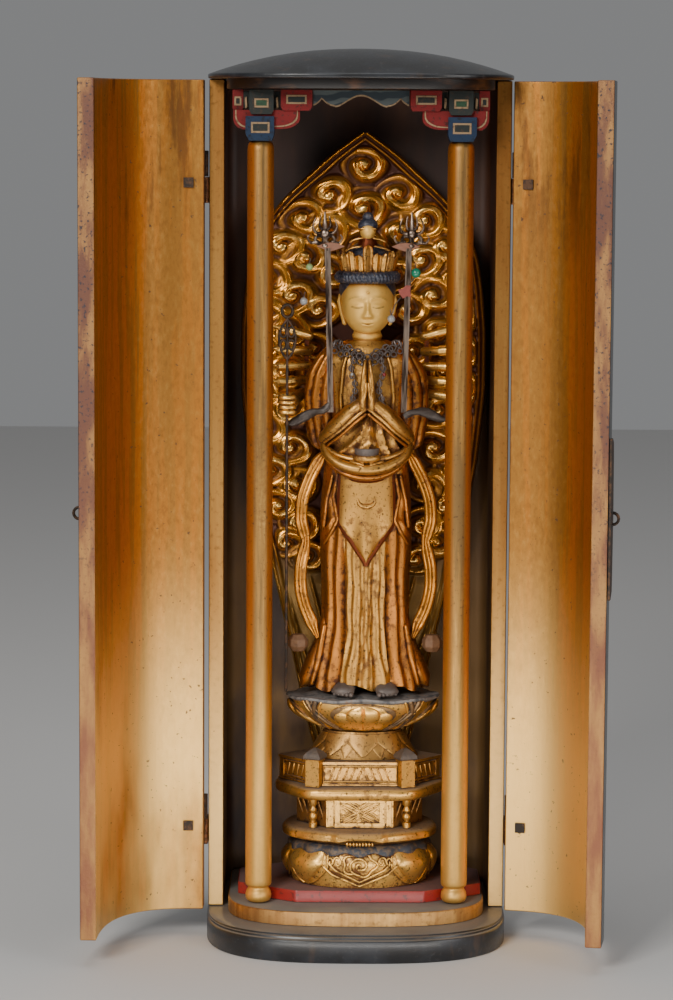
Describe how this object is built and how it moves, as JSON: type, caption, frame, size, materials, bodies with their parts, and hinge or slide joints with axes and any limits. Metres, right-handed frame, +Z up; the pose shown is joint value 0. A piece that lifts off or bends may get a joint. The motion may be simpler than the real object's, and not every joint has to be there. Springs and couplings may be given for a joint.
{
  "type": "buddhist shrine",
  "caption": "Portable black-lacquered shrine with curved hinged doors, gilded inside, holding a standing many-armed figure on a tiered lotus pedestal.",
  "frame": {"origin": "centre of the wall-front line at the base's underside, where it stands", "axes": "+Z up, -Y toward the open front, +X to the viewer's right"},
  "size_m": [0.2946, 0.1653, 0.4989],
  "materials": {
    "black_lacquer": "semi-gloss lacquer",
    "gold_leaf": "gilded",
    "gold_worn": "worn gilding",
    "red_paint": "matt paint",
    "blue_paint": "matt paint",
    "iron": "aged",
    "copper_alloy": "aged"
  },
  "bodies": {
    "case": {"baluster_left": "gold_leaf", "baluster_right": "gold_leaf", "base": "black_lacquer", "bracket_left": "red_paint", "bracket_right": "red_paint", "case_shell": "black_lacquer", "figure": "gold_leaf", "hexagonal_tier": "gold_leaf", "hinge_bottom_left_case_half": "copper_alloy", "hinge_bottom_right_case_half": "copper_alloy", "hinge_top_left_case_half": "copper_alloy", "hinge_top_right_case_half": "copper_alloy", "inner_step": "gold_worn", "knob_left": "gold_worn", "knob_right": "gold_worn", "lattice_drum": "gold_leaf", "ledge": "gold_leaf", "lotus_bowl": "gold_leaf", "lotus_neck": "gold_leaf", "mandorla": "gold_leaf", "petal_tier": "gold_leaf", "pillar_left": "gold_leaf", "pillar_right": "gold_leaf", "plinth": "red_paint", "rail_board": "gold_leaf", "roof": "black_lacquer", "scarf_left": "gold_leaf", "scarf_right": "gold_leaf", "side_arms_left": "gold_leaf", "side_arms_right": "gold_leaf", "staff_inner_left": "iron", "staff_inner_right": "iron", "staff_outer_left": "iron", "valance": "blue_paint"},
    "left_door": {"door_left": "black_lacquer", "hinge_bottom_left_door_half": "iron", "hinge_top_left_door_half": "iron", "staple_left": "iron", "washer_bottom_left": "iron", "washer_top_left": "iron"},
    "right_door": {"door_right": "black_lacquer", "hinge_bottom_right_door_half": "iron", "hinge_top_right_door_half": "iron", "lock_plate": "iron", "staple_right": "iron", "washer_bottom_right": "iron", "washer_top_right": "iron"}
  },
  "joints": [
    {"name": "left_door_hinge", "type": "hinge", "parent": "case", "child": "left_door", "pos_m": [-0.0856, 0, 0.2457], "axis": [0, 0, 1], "range_deg": [-73, 91.5]},
    {"name": "right_door_hinge", "type": "hinge", "parent": "case", "child": "right_door", "pos_m": [0.0856, 0, 0.2457], "axis": [0, 0, 1], "range_deg": [-79.5, 85]}
  ]
}
